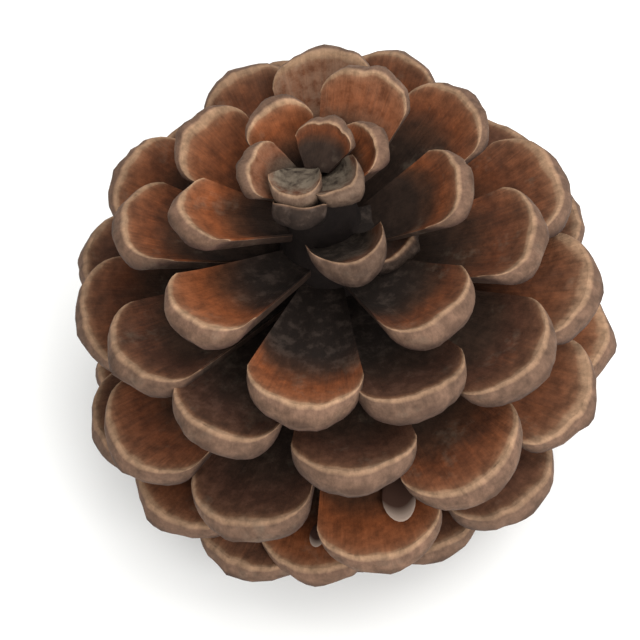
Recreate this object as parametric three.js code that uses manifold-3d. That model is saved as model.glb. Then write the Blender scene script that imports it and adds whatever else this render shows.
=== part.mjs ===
// An open pine cone standing on its base: one woody piece of axis, scales and broken stalk.
// Lengths in millimetres, +Z up along the axis, origin in the middle of the resting face.
import * as THREE from "three";
import { mergeVertices } from "three/addons/utils/BufferGeometryUtils.js";
import Module from "manifold-3d";

// Overall form: the scale rims lie on a ball that is flattened below its middle.
const RIM_RADIUS = 31.2;
const MIDDLE_HEIGHT = 24;
const LOWER_FLATTENING = 0.78;

// Spiral: numbers run down from the top, each next scale is turned on and set further from the top.
const FIRST_SCALE = 2;
const SCALE_COUNT = 88;
const FIRST_TURN = 126.9;
const TURN_STEP = 137.72;
const POLAR_STEP = 2.55;
const POLAR_SLOWING = 0.0085;

// Where the scales leave the axis, as parts of the rim radius above the middle.
const TOP_ROOT = 0.7;
const ROOT_SPREAD = 1.35;

// Size of one scale, and the thickness of its end as part of its width.
const NARROWEST = 3.2;
const WIDENING = 11.8;
const WIDENING_POWER = 0.9;
const ROOT_START = 1.5;
const ROOT_WIDTH = 2.8;
const ROOT_THICKNESS = 2.2;
const EDGE_THICKNESS = 0.9;
const END_THICKNESS = 0.34;

// The scales of the bud at the top grow thicker, wider and from higher up.
const BUD_SCALES = 13;
const BUD_THICKENING = 0.16;
const BUD_WIDENING = 1;
const BUD_ROOT_RISE = 8;

// Form of one scale: rounded rim, dished face, keeled end and an end that is cut back underneath.
const END_ROUNDNESS = 0.75;
const LONGEST_END = 0.4;
const THICKENING_POWER = 1.5;
const CROWN_POWER = 0.8;
const DISH_DEPTH = 0.55;
const KEEL_REACH = 1.0;
const KEEL_DROP = 0.45;
const LOWER_EDGE_INSET = 0.7;

// Corners of a scale: angles round the rim and rows as parts of the way from the root to the rim.
const COLUMN_ANGLES = [-90, -54, -18, 18, 54, 90];
const COLUMN_HALF_STEP = 18;
const ROW_STATIONS = [0, 0.8, 1];

// Natural unevenness, drawn from a seeded sequence.
const SEED = 20261;
const POLAR_JITTER = 0.8;
const TURN_JITTER = 1.2;
const ROLL_JITTER = 9;
const WIDTH_JITTER = 0.05;
const LENGTH_JITTER = 0.015;

// Scales that stand off the spiral: number, then degrees further from the top and round the axis.
const STRAY_SCALES = new Map([
  [2, [2, 18]], [3, [4, -15]], [4, [-1, 15]], [7, [-7, 0]], [9, [7, 6]], [10, [3, -6]], [11, [4, 3]],
  [12, [-5, 9]], [13, [3, -4]], [14, [-2, -11]], [15, [5, -6]], [16, [4, -4]], [17, [2, -4]],
  [18, [3, 0]], [20, [3, 1]], [21, [-3, -11]], [22, [0, 6]], [23, [6, 0]], [25, [-4, 1]],
  [26, [-8, 0]], [28, [-3, -1]], [30, [-4, 0]],
  [32, [6, -5]], [33, [-7, 3]], [35, [-6, -4]], [36, [2, -2]], [38, [-3, -1]], [39, [-8, -3]],
  [41, [-5, -3]], [44, [-1, 7]], [46, [-2, -3]], [48, [-4, -9]], [49, [-2, -6]], [62, [-9, 2]],
]);

// Scales that grew shorter or longer: number, then part of the full reach.
const UNEVEN_SCALES = new Map([[9, 0.7], [12, 0.96], [62, 1.04]]);

// Scales at the top that lean to the front: number, then millimetres of the root behind the axis.
const LEANING_SCALES = new Map([[2, 4], [4, 4]]);

// Axis and broken stalk: radius and height up the axis.
const AXIS_PROFILE = [
  [0, 0], [4.2, 0], [4.8, 2], [7, 5], [7, 24], [5.6, 38], [4.2, 46], [2.6, 48.5], [0, 50.2],
];
const AXIS_SIDES = 12;

// Seed wings that stayed on a scale: its number, part of its length and half width, part of full size.
const STUCK_WINGS = [[46, 0.785, 0.38, 1], [54, 0.85, 0.04, 0.5]];
const WING_LENGTH = 6;
const WING_WIDTH = 3.8;
const WING_THICKNESS = 1.4;
const WING_SINK = 0.8;
const WING_SIDES = 10;

// Side of the box that levels the resting face.
const LEVELLING_BOX = 100;

const wasm = await Module();
wasm.setup();

const radians = THREE.MathUtils.degToRad;
const lerp = THREE.MathUtils.lerp;

let state = SEED;
function draw() {
  state = (Math.imul(state, 1664525) + 1013904223) >>> 0;
  return (state / 4294967296) * 2 - 1;
}

// Place, size and directions of one scale.
function layScale(number) {
  const stray = STRAY_SCALES.get(number) ?? [0, 0];
  const rulePolar = POLAR_STEP * number - POLAR_SLOWING * number * number;
  const polar = radians(Math.max(0, rulePolar + stray[0] + draw() * POLAR_JITTER));
  const turn = radians(FIRST_TURN - TURN_STEP * number + stray[1] + draw() * TURN_JITTER);
  const roll = radians(draw() * ROLL_JITTER);
  const budShare = Math.max(0, 1 - number / BUD_SCALES);
  const ruleWidth = NARROWEST + WIDENING * Math.sin(polar) ** WIDENING_POWER + BUD_WIDENING * budShare;
  const width = ruleWidth * (1 + draw() * WIDTH_JITTER);
  const fullReach = RIM_RADIUS * (1 + draw() * LENGTH_JITTER);
  const reach = fullReach * (UNEVEN_SCALES.get(number) ?? 1);
  const flattening = polar > Math.PI / 2 ? LOWER_FLATTENING : 1;
  const away = new THREE.Vector3(Math.cos(turn), Math.sin(turn), 0);
  const rootHeight = MIDDLE_HEIGHT + RIM_RADIUS * (TOP_ROOT - ROOT_SPREAD * number / SCALE_COUNT);
  const rootBack = LEANING_SCALES.get(number) ?? 0;
  const root = new THREE.Vector3(0, rootBack, rootHeight + BUD_ROOT_RISE * budShare);
  const tip = away.clone().multiplyScalar(reach * Math.sin(polar));
  tip.z = MIDDLE_HEIGHT + reach * Math.cos(polar) * flattening;
  const along = tip.clone().sub(root);
  const length = along.length();
  along.normalize();
  const side = new THREE.Vector3(-along.y, along.x, 0).normalize().applyAxisAngle(along, roll);
  const face = along.clone().cross(side);
  const endThickness = width * (END_THICKNESS + BUD_THICKENING * budShare);
  return { root, along, side, face, length, width, endThickness };
}

// Solid of one scale: rows of upper and lower points from the root to the rim, then the keeled end.
function scaleGeometry(scale) {
  const points = [];
  const faces = [];
  const halfWidth = scale.width / 2;
  const endThickness = scale.endThickness;
  const endDepth = Math.min(halfWidth * END_ROUNDNESS, scale.length * LONGEST_END);
  const columns = COLUMN_ANGLES.map(radians);
  const last = columns.length - 1;

  function addPoint(alongAt, sideAt, faceAt) {
    const point = scale.root.clone().addScaledVector(scale.along, alongAt);
    point.addScaledVector(scale.side, sideAt).addScaledVector(scale.face, faceAt);
    points.push(point.x, point.y, point.z);
    return points.length / 3 - 1;
  }
  function addQuad(a, b, c, d) {
    faces.push(a, b, c, a, c, d);
  }
  // The corners lie a little outside the round rim, so that the flats between them touch it.
  function crownAt(angle) {
    return Math.max(0, Math.cos(angle)) / Math.cos(radians(COLUMN_HALF_STEP));
  }
  function rimAt(angle) {
    return scale.length - endDepth * (1 - crownAt(angle));
  }

  const rings = ROW_STATIONS.map((station) => {
    const rowHalf = lerp(ROOT_WIDTH / 2, halfWidth, station);
    const rootThickness = Math.min(ROOT_THICKNESS, endThickness);
    const rowThickness = lerp(rootThickness, endThickness, station ** THICKENING_POWER);
    const dish = DISH_DEPTH * Math.sin(Math.PI * station ** 2);
    const upper = columns.map((angle) => {
      const fall = dish * crownAt(angle);
      return addPoint(lerp(ROOT_START, rimAt(angle), station), rowHalf * Math.sin(angle), -fall);
    });
    const lower = columns.map((angle) => {
      const thickness = lerp(EDGE_THICKNESS, rowThickness, crownAt(angle) ** CROWN_POWER);
      const inset = station === 1 ? LOWER_EDGE_INSET * crownAt(angle) : 0;
      const alongAt = lerp(ROOT_START, rimAt(angle), station) - inset;
      return addPoint(alongAt, rowHalf * Math.sin(angle), -thickness);
    });
    return [...upper, ...lower.reverse()];
  });
  const ringSize = rings[0].length;
  for (let row = 0; row + 1 < rings.length; row += 1) {
    for (let i = 0; i < ringSize; i += 1) {
      const j = (i + 1) % ringSize;
      addQuad(rings[row][i], rings[row + 1][i], rings[row + 1][j], rings[row][j]);
    }
  }
  const rootRing = rings[0];
  const rimRing = rings[rings.length - 1];
  const keel = columns.map((angle) => {
    const thickness = lerp(EDGE_THICKNESS, endThickness, crownAt(angle) ** CROWN_POWER);
    const alongAt = rimAt(angle) + KEEL_REACH * crownAt(angle);
    return addPoint(alongAt, halfWidth * Math.sin(angle), -thickness * KEEL_DROP);
  });
  for (let i = 0; i < last; i += 1) {
    addQuad(rootRing[i], rootRing[i + 1], rootRing[ringSize - 2 - i], rootRing[ringSize - 1 - i]);
    addQuad(rimRing[i], keel[i], keel[i + 1], rimRing[i + 1]);
    addQuad(keel[i], rimRing[ringSize - 1 - i], rimRing[ringSize - 2 - i], keel[i + 1]);
  }
  faces.push(rimRing[0], rimRing[ringSize - 1], keel[0]);
  faces.push(rimRing[last], keel[last], rimRing[last + 1]);

  const geometry = new THREE.BufferGeometry();
  geometry.setAttribute("position", new THREE.Float32BufferAttribute(points, 3));
  geometry.setIndex(faces);
  return geometry;
}

// Rounded end of a seed wing lying on the face of a scale.
function wingGeometry(scale, lengthPart, widthPart, size) {
  const geometry = new THREE.CylinderGeometry(0.5, 0.5, WING_THICKNESS, WING_SIDES);
  const middle = scale.root.clone().addScaledVector(scale.along, scale.length * lengthPart);
  middle.addScaledVector(scale.side, scale.width / 2 * widthPart);
  middle.addScaledVector(scale.face, WING_THICKNESS / 2 - WING_SINK);
  const place = new THREE.Matrix4().makeBasis(scale.along, scale.face, scale.side.clone().negate());
  place.scale(new THREE.Vector3(WING_LENGTH * size, 1, WING_WIDTH * size)).setPosition(middle);
  return geometry.applyMatrix4(place);
}

function toSolid(geometry) {
  const bare = new THREE.BufferGeometry();
  bare.setAttribute("position", geometry.getAttribute("position").clone());
  bare.setIndex(geometry.getIndex());
  const merged = mergeVertices(bare, 1e-4);
  return new wasm.Manifold(new wasm.Mesh({
    numProp: 3,
    vertProperties: new Float32Array(merged.getAttribute("position").array),
    triVerts: new Uint32Array(merged.getIndex().array),
  }));
}

function toGeometry(solid) {
  const mesh = solid.getMesh();
  const geometry = new THREE.BufferGeometry();
  geometry.setAttribute("position", new THREE.Float32BufferAttribute(mesh.vertProperties, 3));
  geometry.setIndex(Array.from(mesh.triVerts));
  return geometry;
}

const axisPoints = AXIS_PROFILE.map(([radius, height]) => new THREE.Vector2(radius, height));
const axisGeometry = new THREE.LatheGeometry(axisPoints, AXIS_SIDES).rotateX(Math.PI / 2);
let cone = toSolid(axisGeometry);
const scales = Array.from({ length: SCALE_COUNT }, (unused, number) => layScale(number));
for (const scale of scales.slice(FIRST_SCALE)) {
  cone = cone.add(toSolid(scaleGeometry(scale)));
}
for (const [number, lengthPart, widthPart, size] of STUCK_WINGS) {
  cone = cone.add(toSolid(wingGeometry(scales[number], lengthPart, widthPart, size)));
}

// The lowest scales are worn level with the end of the stalk, where the cone rests.
const aboveRest = new THREE.BoxGeometry(LEVELLING_BOX, LEVELLING_BOX, LEVELLING_BOX);
aboveRest.translate(0, 0, LEVELLING_BOX / 2);
cone = cone.intersect(toSolid(aboveRest));

const wood = new THREE.MeshStandardMaterial({ color: 0x6b4a38, roughness: 0.8, metalness: 0 });
const coneMesh = new THREE.Mesh(toGeometry(cone), wood);
coneMesh.name = "cone";

const pineCone = new THREE.Group();
pineCone.name = "pine_cone";
pineCone.add(coneMesh);

export default pineCone;
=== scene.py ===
"""An open pine cone standing on its base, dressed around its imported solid."""

import math

import bmesh
import bpy
from mathutils import Matrix, Vector, noise


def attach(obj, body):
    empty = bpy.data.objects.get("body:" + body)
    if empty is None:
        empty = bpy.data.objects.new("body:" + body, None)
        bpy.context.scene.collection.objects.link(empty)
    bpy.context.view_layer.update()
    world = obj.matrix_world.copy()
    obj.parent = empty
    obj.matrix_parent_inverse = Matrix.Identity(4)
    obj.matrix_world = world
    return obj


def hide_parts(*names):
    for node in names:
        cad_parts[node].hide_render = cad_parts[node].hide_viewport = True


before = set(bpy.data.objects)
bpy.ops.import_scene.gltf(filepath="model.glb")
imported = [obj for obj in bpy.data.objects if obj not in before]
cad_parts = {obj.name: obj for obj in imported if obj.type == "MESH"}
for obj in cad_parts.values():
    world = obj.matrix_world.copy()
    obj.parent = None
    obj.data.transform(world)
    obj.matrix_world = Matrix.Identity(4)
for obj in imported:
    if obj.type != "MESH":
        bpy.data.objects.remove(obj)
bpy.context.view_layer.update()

MM = 0.001

# Overall form in millimetres: the scale rims lie on a ball that is flattened below its middle.
RIM_RADIUS = 31.2
MIDDLE_HEIGHT = 24
LOWER_FLATTENING = 0.78

# Spiral: numbers run down from the top, each next scale is turned on and set further from the top.
FIRST_SCALE = 2
SCALE_COUNT = 88
FIRST_TURN = 126.9
TURN_STEP = 137.72
POLAR_STEP = 2.55
POLAR_SLOWING = 0.0085

# Where the scales leave the axis, as parts of the rim radius above the middle.
TOP_ROOT = 0.7
ROOT_SPREAD = 1.35

# Size of one scale, in millimetres, and the thickness of its end as part of its width.
NARROWEST = 3.2
WIDENING = 11.8
WIDENING_POWER = 0.9
ROOT_START = 1.5
ROOT_WIDTH = 2.8
ROOT_THICKNESS = 2.2
EDGE_THICKNESS = 0.9
END_THICKNESS = 0.34

# The scales of the bud at the top grow thicker, wider and from higher up.
BUD_SCALES = 13
BUD_THICKENING = 0.16
BUD_WIDENING = 1
BUD_ROOT_RISE = 8

# Form of one scale: rounded rim, dished face, keeled end and an end that is cut back underneath.
END_ROUNDNESS = 0.75
LONGEST_END = 0.4
THICKENING_POWER = 1.5
CROWN_POWER = 0.8
DISH_DEPTH = 0.55
KEEL_REACH = 1.0
KEEL_POWER = 0.868
LOWER_EDGE_INSET = 0.7
END_START = 0.9

# Boss on the keeled end, and the shallow marks of the two seeds on the face of a scale of usual width.
# A mark comes in between the first two numbers and ends between the last two.
USUAL_HALF_WIDTH = 7
BOSS_HEIGHT = 0.35
BOSS_DEPTH = 0.47
BOSS_SPREAD = 0.16
SEED_MARK_DEPTH = 0.22
SEED_MARK_ACROSS = (0.08, 0.3, 0.62, 0.9)
SEED_MARK_ALONG = (0.2, 0.45, 0.78, 0.94)

# Waves of the rim and curl of the face, in millimetres, and how fast they change over a scale.
RIM_WAVE = 0.6
RIM_WAVE_LEVEL = 0.6
RIM_WAVE_POWER = 6
LONG_WAVES = 2.1
SHORT_WAVES = 7.3
WAVES_APART = 3.7
CURL = 0.8
CURL_ACROSS = 1.3
CURL_ALONG = 1.7
CURLS_APART = 5.3

# Rows and columns of the block that each scale is shaped from, closer together towards the rim.
CUTS_ACROSS = 19
CUTS_ALONG = 22
CUTS_DEEP = 5
RIM_ROUNDING = 0.12
ROW_CROWDING = 1.5

# Edges that turn by more than this many degrees look sharp.
SHARP_FROM = 50

# Natural unevenness, drawn from a seeded sequence.
SEED = 20261
POLAR_JITTER = 0.8
TURN_JITTER = 1.2
ROLL_JITTER = 9
WIDTH_JITTER = 0.05
LENGTH_JITTER = 0.015

# Scales that stand off the spiral: degrees further from the top and round the axis.
STRAY_SCALES = {
    2: (2, 18), 3: (4, -15), 4: (-1, 15), 7: (-7, 0), 9: (7, 6), 10: (3, -6), 11: (4, 3),
    12: (-5, 9), 13: (3, -4), 14: (-2, -11), 15: (5, -6), 16: (4, -4), 17: (2, -4), 18: (3, 0),
    20: (3, 1), 21: (-3, -11), 22: (0, 6), 23: (6, 0), 25: (-4, 1), 26: (-8, 0), 28: (-3, -1),
    30: (-4, 0), 32: (6, -5), 33: (-7, 3), 35: (-6, -4), 36: (2, -2), 38: (-3, -1), 39: (-8, -3),
    41: (-5, -3), 44: (-1, 7), 46: (-2, -3), 48: (-4, -9), 49: (-2, -6), 62: (-9, 2),
}

# Scales that grew shorter or longer: part of the full reach.
UNEVEN_SCALES = {9: 0.7, 12: 0.96, 62: 1.04}

# Scales at the top that lean to the front: millimetres of the root behind the axis. Their roots bend
# down, in millimetres, and their middles sink by a part of their cup.
LEANING_SCALES = {2: 4, 4: 4}
LEANING_BEND = 1.4
LEANING_SINK = 0.5

# Scales whose sides stand up like a cup: millimetres at the edges.
CUPPED_SCALES = {
    2: 1.3, 4: 1.3, 10: 0.8, 12: 2.0, 14: 0.6, 15: 0.9,
    17: 0.9, 18: 0.7, 20: 0.8, 22: 0.8, 25: 0.6, 28: 0.6,
}

# Scales that are more orange than the others, or duller where the number is below zero.
ORANGE_SCALES = {
    8: 0.3, 10: 0.3, 15: 0.3, 20: 0.2, 35: 0.15, 38: 0.3, 43: 0.2, 46: 0.45, 48: 0.2, 54: 0.45,
    23: -0.2, 25: -0.5, 28: -0.5, 30: -0.3, 33: -0.35, 41: -0.35,
}

# Scales whose light colour runs further down the face, so the dark seed bed and painted shade at the root
# reach less far: where their profile starts, instead of at 0.
LIGHT_SCALES = {
    3: 0.2, 5: 0.4, 6: 0.3, 8: 0.4, 10: 0.35, 11: 0.3, 13: 0.5, 15: 0.3, 16: 0.4, 21: 0.3,
    22: 0.2, 27: 0.35, 35: 0.5, 40: 0.35, 43: 0.5, 48: 0.5,
}

# Scales with grey mottling, scales with a dirty face, and scales darkened all over by painted shade with
# some dirt: how strongly.
GREY_SCALES = {2: 0.8, 4: 0.7, 5: 0.2, 11: 0.1, 12: 0.25, 16: 0.4}
DIRTY_SCALES = {25: 0.3, 28: 0.35, 33: 0.1, 41: 0.2}
SHADED_DARK_SCALES = {2: 0.2, 4: 0.2, 7: 0.85, 9: 0.85, 12: 0.4}
BLACKEST = 0.95
GREY_OFF_FACE = 0.3
DARKENING_ON_RIM = 0.4

# The hollow in front of the top, where painted shade darkens the faces: millimetres from its middle.
HOLLOW_MIDDLE = Vector((-1.2, -8.5, 40))
HOLLOW_DARK = 7.5
HOLLOW_LIT = 12.5
HOLLOW_SHADE = 0.75

# The profile of a scale counts 0 to 1 up its face, to 2 over its end and to 3 along its underside.
FACE_TO = 0.97
RIM_FROM = 0.96
RIM_TO = 1.061
END_BLEND = 0.86

# How much of a scale's tone is its own and how much is warmth, which fades down from the top.
OWN_TONE = 0.65
WARM_TONE = 0.35
WARM_ABOVE = 20
COOL_BELOW = 75

# Axis and broken stalk: radius and height up the axis, and grain bumps per metre each way.
AXIS_PROFILE = [
    (0, 0), (4.2, 0), (4.8, 2), (7, 5), (7, 24), (5.6, 38), (4.2, 46), (2.6, 48.5), (0, 50.2),
]
AXIS_CUTS = 6
AXIS_STEPS = 48
AXIS_GRAIN = Vector((900, 900, 250))
AXIS_GRAIN_DEPTH = 0.04

# Seed wings that stayed on a scale: part of its length, part of its half width, part of full size.
STUCK_WINGS = {46: (0.785, 0.38, 1), 54: (0.85, 0.04, 0.5)}
WING_LENGTH = 6
WING_WIDTH = 3.8
WING_THICKNESS = 0.5
WING_END_CURL = 0.5
WING_SIDE_CURL = 1.6
WING_TIP_CURVE = 0.9

state = SEED


def draw():
    """The next number of the seeded sequence, from -1 to 1."""
    global state
    state = (state * 1664525 + 1013904223) & 0xFFFFFFFF
    return state / 4294967296 * 2 - 1


def lerp(a, b, t):
    return a + (b - a) * t


def smooth(low, high, value):
    """0 below the low value, 1 above the high one and an even rise between them."""
    t = min(1, max(0, (value - low) / (high - low)))
    return t * t * (3 - 2 * t)


def band(value, rise_from, rise_to, fall_from, fall_to):
    return smooth(rise_from, rise_to, value) * (1 - smooth(fall_from, fall_to, value))


def lay_scale(number):
    """Place, size and directions of one scale."""
    stray = STRAY_SCALES.get(number, (0, 0))
    rule_polar = POLAR_STEP * number - POLAR_SLOWING * number * number
    polar = math.radians(max(0, rule_polar + stray[0] + draw() * POLAR_JITTER))
    turn = math.radians(FIRST_TURN - TURN_STEP * number + stray[1] + draw() * TURN_JITTER)
    roll = math.radians(draw() * ROLL_JITTER)
    bud_share = max(0, 1 - number / BUD_SCALES)
    width = NARROWEST + WIDENING * math.sin(polar) ** WIDENING_POWER + BUD_WIDENING * bud_share
    width *= 1 + draw() * WIDTH_JITTER
    full_reach = RIM_RADIUS * (1 + draw() * LENGTH_JITTER)
    reach = full_reach * UNEVEN_SCALES.get(number, 1)
    flattening = LOWER_FLATTENING if polar > math.pi / 2 else 1
    root_height = MIDDLE_HEIGHT + RIM_RADIUS * (TOP_ROOT - ROOT_SPREAD * number / SCALE_COUNT)
    root = Vector((0, LEANING_SCALES.get(number, 0), root_height + BUD_ROOT_RISE * bud_share))
    tip = Vector((math.cos(turn), math.sin(turn), 0)) * (reach * math.sin(polar))
    tip.z = MIDDLE_HEIGHT + reach * math.cos(polar) * flattening
    along = (tip - root).normalized()
    side = Matrix.Rotation(roll, 3, along) @ Vector((-along.y, along.x, 0)).normalized()
    return {
        "number": number, "root": root, "along": along, "side": side, "face": along.cross(side),
        "length": (tip - root).length, "width": width, "polar": math.degrees(polar),
        "end_thickness": width * (END_THICKNESS + BUD_THICKENING * bud_share),
    }


def scale_block():
    """A cube cut into rows: +Y is the outer end, +Z the inner face, with the rim rounded."""
    block = bmesh.new()
    bmesh.ops.create_cube(block, size=2)
    for axis, cuts in ((0, CUTS_ACROSS), (1, CUTS_ALONG), (2, CUTS_DEEP)):
        edges = [e for e in block.edges if abs((e.verts[0].co - e.verts[1].co)[axis]) > 1e-6]
        bmesh.ops.subdivide_edges(block, edges=edges, cuts=cuts, use_grid_fill=True)
    rim = [e for e in block.edges if all(v.co.y > 0.999 and v.co.z > 0.999 for v in e.verts)]
    bmesh.ops.bevel(
        block, geom=rim, offset=RIM_ROUNDING, offset_type="OFFSET", segments=2,
        profile=0.5, affect="EDGES", material=-1,
    )
    return block


def rim_wave(number, across):
    """Millimetres, none or below zero, by which the rim falls back at this place across a scale."""
    wave = noise.noise(Vector((across * LONG_WAVES, number * WAVES_APART, 0.4)))
    wave += 0.5 * noise.noise(Vector((across * SHORT_WAVES, number * WAVES_APART, 2.4)))
    return RIM_WAVE * min(0, wave - RIM_WAVE_LEVEL)


def face_bend(number, across, station):
    """Millimetres by which a scale's whole thickness is lifted here: curl, cup and bent root."""
    curl = CURL * noise.noise(Vector((across * CURL_ACROSS, station * CURL_ALONG, number * CURLS_APART)))
    cup = CUPPED_SCALES.get(number, 0) * across ** 2
    root_drop = 0
    if number in LEANING_SCALES:
        cup -= CUPPED_SCALES[number] * LEANING_SINK
        root_drop = LEANING_BEND * (1 - station) ** 2
    return (curl + cup) * station ** 2 - root_drop


def shape_point(scale, spot):
    """A point of the block moved to its place on the scale, and how far it is round the profile."""
    number = scale["number"]
    half = scale["width"] / 2
    to_usual = half / USUAL_HALF_WIDTH
    angle = spot.x * math.pi / 2
    crown = max(0, math.cos(angle))
    station = 1 - (1 - (spot.y + 1) / 2) ** ROW_CROWDING
    depth = (1 - spot.z) / 2

    end_depth = min(half * END_ROUNDNESS, scale["length"] * LONGEST_END)
    rim = scale["length"] - end_depth * (1 - crown)
    keel = math.sin(math.pi * min(1, max(0, depth)) ** KEEL_POWER)
    boss = math.exp(-(spot.x / BOSS_SPREAD) ** 2 - ((depth - BOSS_DEPTH) / BOSS_SPREAD) ** 2)
    outward = crown * (KEEL_REACH * keel - LOWER_EDGE_INSET * depth ** 2) + BOSS_HEIGHT * boss * to_usual
    along_at = lerp(ROOT_START, rim, station) + smooth(END_START, 1, station) * outward
    along_at += station ** RIM_WAVE_POWER * crown * rim_wave(number, spot.x)

    row_half = lerp(ROOT_WIDTH / 2, half, station)
    side_at = row_half * math.sin(angle)

    end_thick = scale["end_thickness"]
    row_thick = lerp(min(ROOT_THICKNESS, end_thick), end_thick, station ** THICKENING_POWER)
    thick = lerp(EDGE_THICKNESS, row_thick, crown ** CROWN_POWER)
    dish = DISH_DEPTH * math.sin(math.pi * station ** 2) * crown
    mark = band(abs(math.sin(angle)), *SEED_MARK_ACROSS) * band(station, *SEED_MARK_ALONG)
    upper = -dish - SEED_MARK_DEPTH * mark * to_usual
    face_at = lerp(upper, -thick, depth) + face_bend(number, spot.x, station)

    place = scale["root"] + scale["along"] * along_at + scale["side"] * side_at + scale["face"] * face_at
    place.z = max(0, place.z)
    on_side = station if depth < 0.5 else 3 - station
    round_end = lerp(station, 3 - station, depth)
    return place, lerp(on_side, round_end, smooth(END_BLEND, 1, station))


def dirt_and_shade_at(number, place, profile):
    """Share of the wood hidden at a place, given in millimetres, by painted shade in the hollow and on the
    shaded dark scales, and by dirt on the dirty scales.
    """
    black = SHADED_DARK_SCALES.get(number, 0)
    if RIM_FROM < profile < RIM_TO:
        black *= DARKENING_ON_RIM
    black = min(BLACKEST, black)
    if profile >= FACE_TO:
        return black
    hollow = HOLLOW_SHADE * (1 - smooth(HOLLOW_DARK, HOLLOW_LIT, (place - HOLLOW_MIDDLE).length))
    return max(hollow, black, DIRTY_SCALES.get(number, 0))


def finish_piece(shape, name, material):
    mesh = bpy.data.meshes.new(name)
    shape.to_mesh(mesh)
    shape.free()
    mesh.shade_smooth()
    mesh.set_sharp_from_angle(angle=math.radians(SHARP_FROM))
    mesh.materials.append(material)
    piece = bpy.data.objects.new(name, mesh)
    bpy.context.collection.objects.link(piece)
    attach(piece, "root")
    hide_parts("cone")


def make_scale(scale, block, material):
    """One scale shaped from the block, with what its material reads stored at its points."""
    number = scale["number"]
    shape = block.copy()
    names = ("profile", "across", "tone", "dirt_and_shade", "greyness")
    profile, across, tone, dirt_and_shade, greyness = [shape.verts.layers.float.new(name) for name in names]
    own_tone = 0.5 + 0.5 * noise.noise(Vector((number * 1.93, 7.7, 0.3)))
    warmth = 1 - smooth(WARM_ABOVE, COOL_BELOW, scale["polar"])
    scale_tone = OWN_TONE * own_tone + WARM_TONE * warmth + ORANGE_SCALES.get(number, 0)
    for vert in shape.verts:
        vert[across] = vert.co.x
        vert[tone] = scale_tone
        place, along_profile = shape_point(scale, vert.co.copy())
        vert.co = place * MM
        vert[dirt_and_shade] = dirt_and_shade_at(number, place, along_profile)
        vert[greyness] = GREY_SCALES.get(number, 0) * (1 if along_profile < FACE_TO else GREY_OFF_FACE)
        if along_profile < 1:
            along_profile = lerp(LIGHT_SCALES.get(number, 0), 1, along_profile)
        vert[profile] = along_profile
    bmesh.ops.recalc_face_normals(shape, faces=shape.faces)
    finish_piece(shape, f"scale_{number:02d}", material)


def make_axis(material):
    """The woody axis with the broken stalk under it, turned from its outline."""
    shape = bmesh.new()
    points = [shape.verts.new((radius * MM, 0, height * MM)) for radius, height in AXIS_PROFILE]
    outline = [shape.edges.new(pair) for pair in zip(points, points[1:])]
    bmesh.ops.subdivide_edges(shape, edges=outline, cuts=AXIS_CUTS)
    bmesh.ops.spin(
        shape, geom=shape.verts[:] + shape.edges[:], axis=(0, 0, 1), cent=(0, 0, 0),
        angle=math.tau, steps=AXIS_STEPS, use_merge=True,
    )
    bmesh.ops.remove_doubles(shape, verts=shape.verts, dist=1e-6)
    for vert in shape.verts:
        shrink = 1 - AXIS_GRAIN_DEPTH * (noise.noise(vert.co * AXIS_GRAIN) + 1)
        vert.co.x *= shrink
        vert.co.y *= shrink
    bmesh.ops.recalc_face_normals(shape, faces=shape.faces)
    finish_piece(shape, "axis_and_stalk", material)


def make_wing(scale, length_part, width_part, size, material):
    """The rounded papery end of a seed wing lying on the face of a scale."""
    shape = bmesh.new()
    bmesh.ops.create_uvsphere(shape, u_segments=24, v_segments=12, radius=0.5)
    middle = scale["root"] + scale["along"] * (scale["length"] * length_part)
    middle = middle + scale["side"] * (scale["width"] / 2 * width_part)
    tip = shape.verts.layers.float.new("tip")
    for vert in shape.verts:
        vert[tip] = vert.co.x + 0.5 + WING_TIP_CURVE * vert.co.y ** 2
        spot = vert.co * size
        curl = WING_END_CURL * (spot.x + 0.5) ** 2 + WING_SIDE_CURL * spot.y ** 2
        place = middle + scale["along"] * (spot.x * WING_LENGTH) + scale["side"] * (spot.y * WING_WIDTH)
        vert.co = (place + scale["face"] * (spot.z * WING_THICKNESS + curl)) * MM
    bmesh.ops.recalc_face_normals(shape, faces=shape.faces)
    finish_piece(shape, f"stuck_wing_{scale['number']:02d}", material)


# Sizes of the materials' patterns in millimetres.
BLOTCH_SIZE = 4
WEAR_SPOT_SIZE = 1.5
GREY_PATCH_SIZE = 5
PIT_SIZE = 0.7
STALK_GRAIN_SIZE = 1.1
FIBRE_SPACING = 0.3
WOOD_RELIEF = 0.2
STALK_RELIEF = 0.3

# Bends of a fibre from root to rim, and how far apart the fibres of two tones are drawn.
FIBRE_BENDS = 4.5
FIBRE_SHUFFLE = 60


def linear(hex_colour):
    """An sRGB hex colour as linear red, green, blue and alpha."""
    parts = [int(hex_colour[i:i + 2], 16) / 255 for i in (1, 3, 5)]
    return [c / 12.92 if c <= 0.04045 else ((c + 0.055) / 1.055) ** 2.4 for c in parts] + [1]


def per_mm(size):
    """The texture scale whose pattern repeats at about this many millimetres."""
    return 1 / (size * MM)


def add_node(tree, kind, links=None, values=None, **settings):
    """One shader node with its settings, constant inputs and incoming links."""
    node = tree.nodes.new(kind)
    for name, value in settings.items():
        setattr(node, name, value)
    for name, value in (values or {}).items():
        node.inputs[name].default_value = value
    for name, source in (links or {}).items():
        tree.links.new(source, node.inputs[name])
    return node


def new_material(name):
    material = bpy.data.materials.new(name)
    material.use_nodes = True
    material.node_tree.nodes.clear()
    return material


def fill_ramp(ramp, stops):
    """Positions and colours set on a colour ramp, which starts with two elements."""
    elements = ramp.color_ramp.elements
    for element, (position, colour) in zip(elements, (stops[0], stops[-1])):
        element.position = position
        element.color = linear(colour)
    for position, colour in stops[1:-1]:
        elements.new(position).color = linear(colour)


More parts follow.
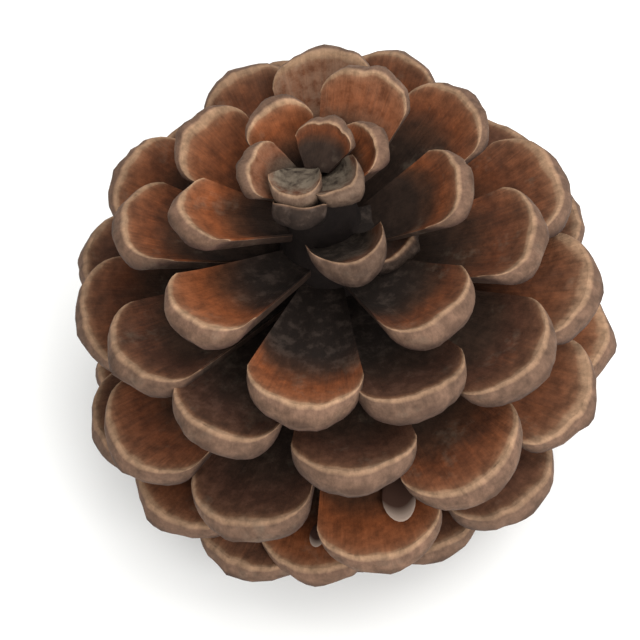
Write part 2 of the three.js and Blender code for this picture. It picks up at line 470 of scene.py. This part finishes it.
def scale_wood():
    """Dry pine scale wood, weathered outdoors: matt brown inner faces with fine fibres that darken towards
    the root with the dark seed bed and painted shade, a pale worn rim with a painted edge highlight, and a
    grey-tan keeled end."""
    material = new_material("weathered_pine_scale_wood")
    tree = material.node_tree
    place = add_node(tree, "ShaderNodeTexCoord").outputs["Object"]
    names = ("profile", "across", "tone", "dirt_and_shade", "greyness")
    profile, across, tone, dirt_and_shade, greyness = [
        add_node(tree, "ShaderNodeAttribute", attribute_name=name).outputs["Fac"] for name in names
    ]

    # Blotches bend the borders between the colours.
    blotch = add_node(
        tree, "ShaderNodeTexNoise", {"Vector": place},
        {"Scale": per_mm(BLOTCH_SIZE), "Detail": 3, "Roughness": 0.6},
    ).outputs["Fac"]
    bent = add_node(tree, "ShaderNodeMath", {0: blotch}, {1: -0.5}, operation="ADD").outputs[0]
    bent = add_node(
        tree, "ShaderNodeMath", {0: bent, 2: profile}, {1: 0.05}, operation="MULTIPLY_ADD"
    ).outputs[0]
    third = add_node(tree, "ShaderNodeMath", {0: bent}, {1: 3}, operation="DIVIDE").outputs[0]

    # Colours round the profile: inner face from root to rim, keeled end, underside back to the root. The
    # inner face darkens towards the root, partly for the dark seed bed and partly as painted shade of the
    # scales above; the pale rim is partly worn wood and partly a painted highlight along its edge.
    dull_stops = [
        (0.0, "#251c17"), (0.6, "#291e17"), (0.74, "#322219"), (0.86, "#442a1e"), (0.95, "#4f3324"),
        (0.972, "#5e412f"), (0.99, "#896d56"), (1.03, "#836751"), (1.1, "#5f493b"), (1.45, "#594437"),
        (1.75, "#4b392f"), (2.0, "#3c2c25"), (2.15, "#33261f"), (3.0, "#241b16"),
    ]
    warm_stops = [
        (0.0, "#271d17"), (0.62, "#2c1f18"), (0.74, "#452919"), (0.85, "#6e3b1f"), (0.94, "#714228"),
        (0.972, "#774e36"), (0.99, "#96775c"), (1.03, "#90725a"), (1.1, "#684f40"), (1.45, "#624b3c"),
        (1.75, "#533f34"), (2.0, "#43312a"), (2.15, "#372921"), (3.0, "#261c17"),
    ]
    dull_ramp = add_node(tree, "ShaderNodeValToRGB", {"Fac": third})
    warm_ramp = add_node(tree, "ShaderNodeValToRGB", {"Fac": third})
    for ramp, stops in ((dull_ramp, dull_stops), (warm_ramp, warm_stops)):
        fill_ramp(ramp, [(position / 3, colour) for position, colour in stops])

    # Fibres run from the root to the rim, and the wood is warmer along some of them.
    lanes = add_node(
        tree, "ShaderNodeCombineXYZ", {"X": across, "Y": profile, "Z": tone}
    ).outputs["Vector"]
    stretch = add_node(
        tree, "ShaderNodeVectorMath", {0: lanes},
        {1: (USUAL_HALF_WIDTH / FIBRE_SPACING, FIBRE_BENDS, FIBRE_SHUFFLE)}, operation="MULTIPLY",
    ).outputs["Vector"]
    fibre = add_node(
        tree, "ShaderNodeTexNoise", {"Vector": stretch}, {"Scale": 1, "Detail": 5, "Roughness": 0.65}
    ).outputs["Fac"]
    warmth = add_node(
        tree, "ShaderNodeMath", {0: blotch, 2: tone}, {1: 0.7}, operation="MULTIPLY_ADD"
    ).outputs[0]
    warmth = add_node(
        tree, "ShaderNodeMath", {0: fibre, 2: warmth}, {1: 0.35}, operation="MULTIPLY_ADD"
    ).outputs[0]
    warmth = add_node(
        tree, "ShaderNodeMapRange", {"Value": warmth},
        {"From Min": 0.75, "From Max": 1.35, "To Min": 0, "To Max": 1},
    ).outputs["Result"]
    wood = add_node(
        tree, "ShaderNodeMix",
        {"Factor": warmth, 6: dull_ramp.outputs["Color"], 7: warm_ramp.outputs["Color"]},
        data_type="RGBA",
    ).outputs[2]
    streak = add_node(
        tree, "ShaderNodeMapRange", {"Value": fibre},
        {"From Min": 0.3, "From Max": 0.7, "To Min": 0.88, "To Max": 1.1},
    ).outputs["Result"]
    streaked = add_node(
        tree, "ShaderNodeMix", {7: streak, 6: wood}, {"Factor": 1},
        data_type="RGBA", blend_type="MULTIPLY",
    ).outputs[2]

    # Uneven wear in spots, and a darker boss in the middle of the keeled end.
    spots = add_node(
        tree, "ShaderNodeTexNoise", {"Vector": place},
        {"Scale": per_mm(WEAR_SPOT_SIZE), "Detail": 4, "Roughness": 0.65},
    ).outputs["Fac"]
    wear = add_node(
        tree, "ShaderNodeMapRange", {"Value": spots},
        {"From Min": 0.32, "From Max": 0.68, "To Min": 0.63, "To Max": 1.29},
    ).outputs["Result"]
    worn = add_node(
        tree, "ShaderNodeMix", {7: wear, 6: streaked}, {"Factor": 1},
        data_type="RGBA", blend_type="MULTIPLY",
    ).outputs[2]
    offset = add_node(tree, "ShaderNodeCombineXYZ", {"X": across, "Y": profile}).outputs["Vector"]
    to_boss = add_node(
        tree, "ShaderNodeVectorMath", {0: offset}, {1: (0, 1 + BOSS_DEPTH, 0)}, operation="DISTANCE"
    ).outputs["Value"]
    boss = add_node(
        tree, "ShaderNodeMapRange", {"Value": to_boss},
        {"From Min": 0.1, "From Max": 0.2, "To Min": 0.55, "To Max": 0},
    ).outputs["Result"]
    bossed = add_node(
        tree, "ShaderNodeMix", {"Factor": boss, 6: worn}, {7: linear("#3a2a22")}, data_type="RGBA"
    ).outputs[2]

    # Grey weathering in faint patches on all scales, and in strong mottling on a few.
    patch = add_node(
        tree, "ShaderNodeTexNoise", {"Vector": place},
        {"Scale": per_mm(GREY_PATCH_SIZE), "Detail": 4, "Roughness": 0.7},
    ).outputs["Fac"]
    grey = add_node(
        tree, "ShaderNodeMapRange", {"Value": patch},
        {"From Min": 0.58, "From Max": 0.76, "To Min": 0, "To Max": 0.25},
    ).outputs["Result"]
    mottle = add_node(
        tree, "ShaderNodeMapRange", {"Value": spots},
        {"From Min": 0.36, "From Max": 0.58, "To Min": 0.1, "To Max": 0.9},
    ).outputs["Result"]
    grey = add_node(
        tree, "ShaderNodeMath", {0: greyness, 1: mottle, 2: grey},
        operation="MULTIPLY_ADD", use_clamp=True,
    ).outputs[0]
    weathered = add_node(
        tree, "ShaderNodeMix", {"Factor": grey, 6: bossed}, {7: linear("#7c7060")}, data_type="RGBA"
    ).outputs[2]

    # Painted shade caught in the hollow round the top and on the shaded dark scales, with real dirt on a
    # few faces, drawn as near black with paler crumbs in it.
    crumbs = add_node(
        tree, "ShaderNodeMapRange", {"Value": spots},
        {"From Min": 0.5, "From Max": 0.64, "To Min": 0, "To Max": 1},
    ).outputs["Result"]
    shade_and_dirt_colour = add_node(
        tree, "ShaderNodeMix", {"Factor": crumbs}, {6: linear("#1a1512"), 7: linear("#352d28")},
        data_type="RGBA",
    ).outputs[2]
    dirtied_and_shaded = add_node(
        tree, "ShaderNodeMix", {"Factor": dirt_and_shade, 6: weathered, 7: shade_and_dirt_colour}, data_type="RGBA"
    ).outputs[2]

    # Pits and fibres stand a little out of the surface.
    pits = add_node(
        tree, "ShaderNodeTexNoise", {"Vector": place},
        {"Scale": per_mm(PIT_SIZE), "Detail": 4, "Roughness": 0.6},
    ).outputs["Fac"]
    relief = add_node(tree, "ShaderNodeMath", {0: pits, 1: fibre}, operation="ADD").outputs[0]
    bump = add_node(
        tree, "ShaderNodeBump", {"Height": relief}, {"Strength": 0.55, "Distance": WOOD_RELIEF * MM}
    ).outputs["Normal"]
    shader = add_node(
        tree, "ShaderNodeBsdfPrincipled", {"Base Color": dirtied_and_shaded, "Normal": bump},
        {"Roughness": 0.8, "Specular IOR Level": 0.12},
    )
    add_node(tree, "ShaderNodeOutputMaterial", {"Surface": shader.outputs["BSDF"]})
    return material


def wing_paper():
    """The papery end of a dried seed wing: matt, dark brown where it tucks in and pale at its free end."""
    material = new_material("papery_seed_wing")
    tree = material.node_tree
    tip = add_node(tree, "ShaderNodeAttribute", attribute_name="tip").outputs["Fac"]
    ramp = add_node(tree, "ShaderNodeValToRGB", {"Fac": tip})
    fill_ramp(ramp, [(0.68, "#3f2a21"), (0.9, "#8f7d70")])
    shader = add_node(
        tree, "ShaderNodeBsdfPrincipled", {"Base Color": ramp.outputs["Color"]},
        {"Roughness": 0.7, "Specular IOR Level": 0.2},
    )
    add_node(tree, "ShaderNodeOutputMaterial", {"Surface": shader.outputs["BSDF"]})
    return material


def stalk_wood():
    """Bare fibrous wood, broken and dirtied outdoors: matt, with two dark tones in fine grain."""
    material = new_material("broken_stalk_wood")
    tree = material.node_tree
    place = add_node(tree, "ShaderNodeTexCoord").outputs["Object"]
    grain = add_node(
        tree, "ShaderNodeTexNoise", {"Vector": place},
        {"Scale": per_mm(STALK_GRAIN_SIZE), "Detail": 5, "Roughness": 0.7},
    ).outputs["Fac"]
    blend = add_node(
        tree, "ShaderNodeMix", {"Factor": grain}, {6: linear("#0e0b0a"), 7: linear("#231c19")},
        data_type="RGBA",
    ).outputs[2]
    bump = add_node(
        tree, "ShaderNodeBump", {"Height": grain}, {"Strength": 0.6, "Distance": STALK_RELIEF * MM}
    ).outputs["Normal"]
    shader = add_node(
        tree, "ShaderNodeBsdfPrincipled", {"Base Color": blend, "Normal": bump},
        {"Roughness": 0.85, "Specular IOR Level": 0.1},
    )
    add_node(tree, "ShaderNodeOutputMaterial", {"Surface": shader.outputs["BSDF"]})
    return material


weathered_wood = scale_wood()
bare_wood = stalk_wood()
wing_skin = wing_paper()

block = scale_block()
scales = [lay_scale(number) for number in range(SCALE_COUNT)]
for scale in scales[FIRST_SCALE:]:
    make_scale(scale, block, weathered_wood)
block.free()
make_axis(bare_wood)
for number, (length_part, width_part, size) in STUCK_WINGS.items():
    make_wing(scales[number], length_part, width_part, size, wing_skin)

# Floor, light and camera. Lamps have a place and size in metres and a power in watts.
FLOOR_HALF = 1.5
FLOOR_COLOUR = "#f4f4f2"
FLOOR_ROUGHNESS = 0.9
ROOM_LIGHT = 0.95
ABOVE_PLACE, ABOVE_SIZE, ABOVE_POWER = (0.26, 0.0, 0.55), 0.6, 2.5
FRONT_PLACE, FRONT_SIZE, FRONT_POWER = (0.2, -0.5, 0.33), 0.4, 3.2


def make_floor():
    """A sheet of matt white paper under the cone."""
    shape = bmesh.new()
    bmesh.ops.create_grid(shape, x_segments=1, y_segments=1, size=FLOOR_HALF)
    mesh = bpy.data.meshes.new("floor")
    shape.to_mesh(mesh)
    shape.free()
    paper = bpy.data.materials.new("matt_white_paper")
    paper.use_nodes = True
    shader = paper.node_tree.nodes["Principled BSDF"]
    shader.inputs["Base Color"].default_value = linear(FLOOR_COLOUR)
    shader.inputs["Roughness"].default_value = FLOOR_ROUGHNESS
    mesh.materials.append(paper)
    floor = bpy.data.objects.new("floor", mesh)
    bpy.context.collection.objects.link(floor)


def add_light(name, place, size, power):
    light = bpy.data.lights.new(name, "AREA")
    light.shape = "DISK"
    light.size = size
    light.energy = power
    lamp = bpy.data.objects.new(name, light)
    lamp.location = place
    aim = Vector((0, 0, MIDDLE_HEIGHT * MM)) - Vector(place)
    lamp.rotation_euler = aim.to_track_quat("-Z", "Y").to_euler()
    bpy.context.collection.objects.link(lamp)


make_floor()
add_light("soft_box_above", ABOVE_PLACE, ABOVE_SIZE, ABOVE_POWER)
add_light("soft_box_front", FRONT_PLACE, FRONT_SIZE, FRONT_POWER)

world = bpy.data.worlds.new("soft_white_room")
world.use_nodes = True
background = world.node_tree.nodes["Background"]
background.inputs["Color"].default_value = (1, 1, 1, 1)
background.inputs["Strength"].default_value = ROOM_LIGHT
bpy.context.scene.world = world
bpy.context.scene.view_settings.view_transform = "Standard"

# Seen from above the front, leaning a little to the left in the picture. Lengths in millimetres.
CAMERA_ELEVATION = math.radians(55.7)
CAMERA_ROLL = math.radians(12.3)
CAMERA_DISTANCE = 452
CAMERA_LENS = 219.5
CAMERA_SENSOR = 36
CAMERA_NEAREST = 10
PICTURE_SHIFT_RIGHT = -2.47
PICTURE_SHIFT_UP = -0.38
back = Vector((0, -math.cos(CAMERA_ELEVATION), math.sin(CAMERA_ELEVATION)))
level = Vector((1, 0, 0))
rise = back.cross(level)
right = level * math.cos(CAMERA_ROLL) - rise * math.sin(CAMERA_ROLL)
up = level * math.sin(CAMERA_ROLL) + rise * math.cos(CAMERA_ROLL)
stand = Vector((0, 0, MIDDLE_HEIGHT)) + back * CAMERA_DISTANCE
stand = (stand + right * PICTURE_SHIFT_RIGHT + up * PICTURE_SHIFT_UP) * MM
lens = bpy.data.cameras.new("camera")
lens.lens = CAMERA_LENS
lens.sensor_width = CAMERA_SENSOR
lens.clip_start = CAMERA_NEAREST * MM
camera = bpy.data.objects.new("camera", lens)
camera.matrix_world = Matrix.Translation(stand) @ Matrix((right, up, back)).transposed().to_4x4()
bpy.context.collection.objects.link(camera)
bpy.context.scene.camera = camera
